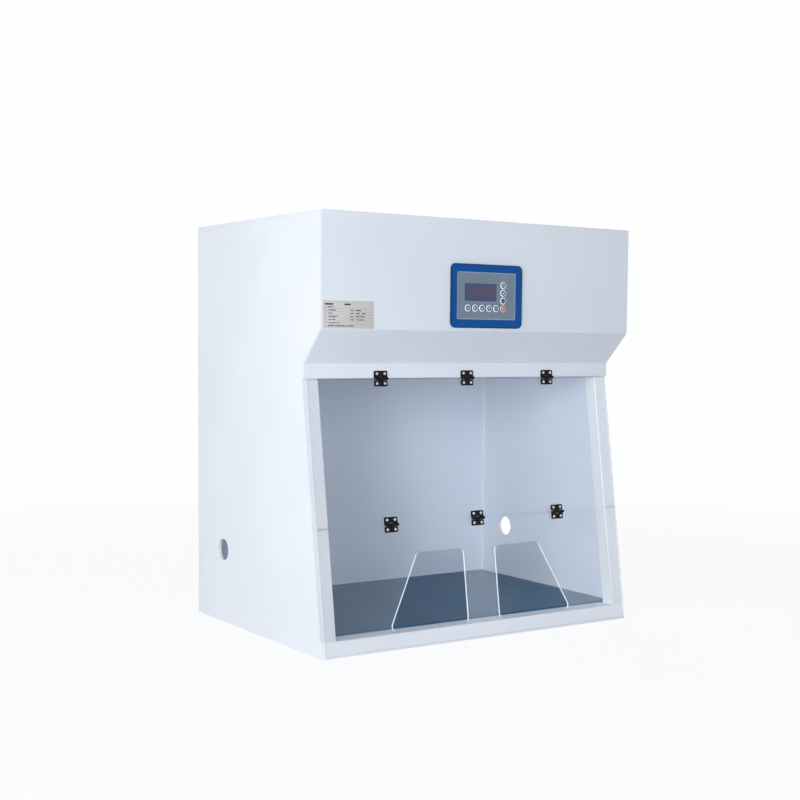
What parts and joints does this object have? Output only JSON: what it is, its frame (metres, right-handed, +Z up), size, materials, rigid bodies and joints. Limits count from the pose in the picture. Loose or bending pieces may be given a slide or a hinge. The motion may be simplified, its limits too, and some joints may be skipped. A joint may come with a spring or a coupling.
{
  "type": "ductless fume hood",
  "caption": "Bench-top filtering fume hood: white cabinet, folding clear front sash with hand holes, dark worktop, filters and fan above the chamber, key panel.",
  "frame": {"origin": "middle of the footprint box, on the bench", "axes": "+Z up, -Y towards the user, +X to the user's right"},
  "size_m": [1, 0.7218, 1.105],
  "materials": {
    "white_board": "satin",
    "worktop_blue": "satin",
    "clear_acrylic": "gloss",
    "filter_mat": "matte",
    "filter_case": "satin",
    "carbon": "matte",
    "lamp_metal": "satin",
    "opal": "satin",
    "led_board": "satin",
    "sheet_metal": "satin",
    "impeller_black": "satin",
    "motor_case": "satin",
    "bezel_blue": "gloss",
    "face_grey": "gloss",
    "display_glass": "gloss",
    "circuit_board": "satin",
    "key_blue": "gloss",
    "key_red": "gloss",
    "inlet_black": "satin",
    "hinge_black": "satin",
    "pin_steel": "satin",
    "screw_steel": "satin"
  },
  "bodies": {
    "cabinet": {"side_panel_left": "white_board", "side_panel_right": "white_board", "back_panel": "white_board", "fascia": "white_board", "top_cover": "white_board", "front_sill": "white_board", "post_left": "white_board", "post_right": "white_board", "base_board": "white_board", "inner_back_wall": "white_board", "filter_shelf": "white_board", "plenum_partition": "white_board", "worktop_bearers": "white_board", "fan_deck": "white_board", "worktop": "worktop_blue", "prefilter": "filter_mat", "carbon_filter_case": "filter_case", "carbon_bed": "carbon", "lamp_tray": "lamp_metal", "lamp_diffuser": "opal", "led_strip": "led_board", "inlet_ring": "sheet_metal", "motor_bridge": "sheet_metal", "control_box": "sheet_metal", "fan_motor": "motor_case", "control_bezel": "bezel_blue", "control_face": "face_grey", "display_window": "display_glass", "control_board": "circuit_board", "power_inlet": "inlet_black", "rail_hinge_left_fixed": "hinge_black", "rail_hinge_middle_fixed": "hinge_black", "rail_hinge_right_fixed": "hinge_black", "rail_hinge_pins": "pin_steel", "rail_leaf_screws": "screw_steel", "cover_screws": "screw_steel"},
    "upper_sash": {"upper_sash": "clear_acrylic", "upper_sash_screws": "screw_steel", "rail_hinge_left_moving": "hinge_black", "rail_hinge_middle_moving": "hinge_black", "rail_hinge_right_moving": "hinge_black", "seam_hinge_left_upper": "hinge_black", "seam_hinge_middle_upper": "hinge_black", "seam_hinge_right_upper": "hinge_black", "seam_hinge_pins": "pin_steel"},
    "lower_sash": {"lower_sash": "clear_acrylic", "lower_sash_screws": "screw_steel", "seam_hinge_left_lower": "hinge_black", "seam_hinge_middle_lower": "hinge_black", "seam_hinge_right_lower": "hinge_black"},
    "fan_impeller": {"fan_impeller": "impeller_black"},
    "key_row_1": {"key_row_1": "key_blue"},
    "key_row_2": {"key_row_2": "key_blue"},
    "key_row_3": {"key_row_3": "key_blue"},
    "key_row_4": {"key_row_4": "key_blue"},
    "key_row_5": {"key_row_5": "key_blue"},
    "key_red": {"key_red": "key_red"},
    "key_column_1": {"key_column_1": "key_blue"},
    "key_column_2": {"key_column_2": "key_blue"},
    "key_column_3": {"key_column_3": "key_blue"}
  },
  "joints": [
    {"name": "upper_sash_hinge", "type": "hinge", "parent": "cabinet", "child": "upper_sash", "pos_m": [0, -0.26358, 0.691], "axis": [-1, 0, 0], "range_deg": [0, 110]},
    {"name": "lower_sash_hinge", "type": "hinge", "parent": "upper_sash", "child": "lower_sash", "pos_m": [0, -0.31931, 0.31814], "axis": [-1, 0, 0], "range_deg": [0, 175]},
    {"name": "fan_spin", "type": "hinge", "parent": "cabinet", "child": "fan_impeller", "pos_m": [0, 0.10992, 0.96], "axis": [0, 0, 1], "continuous": true},
    {"name": "key_row_1_press", "type": "slide", "parent": "cabinet", "child": "key_row_1", "axis": [0, 1, 0], "range_m": [0, 0.0005], "stiffness_N_per_m": 2000},
    {"name": "key_row_2_press", "type": "slide", "parent": "cabinet", "child": "key_row_2", "axis": [0, 1, 0], "range_m": [0, 0.0005], "stiffness_N_per_m": 2000},
    {"name": "key_row_3_press", "type": "slide", "parent": "cabinet", "child": "key_row_3", "axis": [0, 1, 0], "range_m": [0, 0.0005], "stiffness_N_per_m": 2000},
    {"name": "key_row_4_press", "type": "slide", "parent": "cabinet", "child": "key_row_4", "axis": [0, 1, 0], "range_m": [0, 0.0005], "stiffness_N_per_m": 2000},
    {"name": "key_row_5_press", "type": "slide", "parent": "cabinet", "child": "key_row_5", "axis": [0, 1, 0], "range_m": [0, 0.0005], "stiffness_N_per_m": 2000},
    {"name": "key_red_press", "type": "slide", "parent": "cabinet", "child": "key_red", "axis": [0, 1, 0], "range_m": [0, 0.0005], "stiffness_N_per_m": 2000},
    {"name": "key_column_1_press", "type": "slide", "parent": "cabinet", "child": "key_column_1", "axis": [0, 1, 0], "range_m": [0, 0.0005], "stiffness_N_per_m": 2000},
    {"name": "key_column_2_press", "type": "slide", "parent": "cabinet", "child": "key_column_2", "axis": [0, 1, 0], "range_m": [0, 0.0005], "stiffness_N_per_m": 2000},
    {"name": "key_column_3_press", "type": "slide", "parent": "cabinet", "child": "key_column_3", "axis": [0, 1, 0], "range_m": [0, 0.0005], "stiffness_N_per_m": 2000}
  ]
}
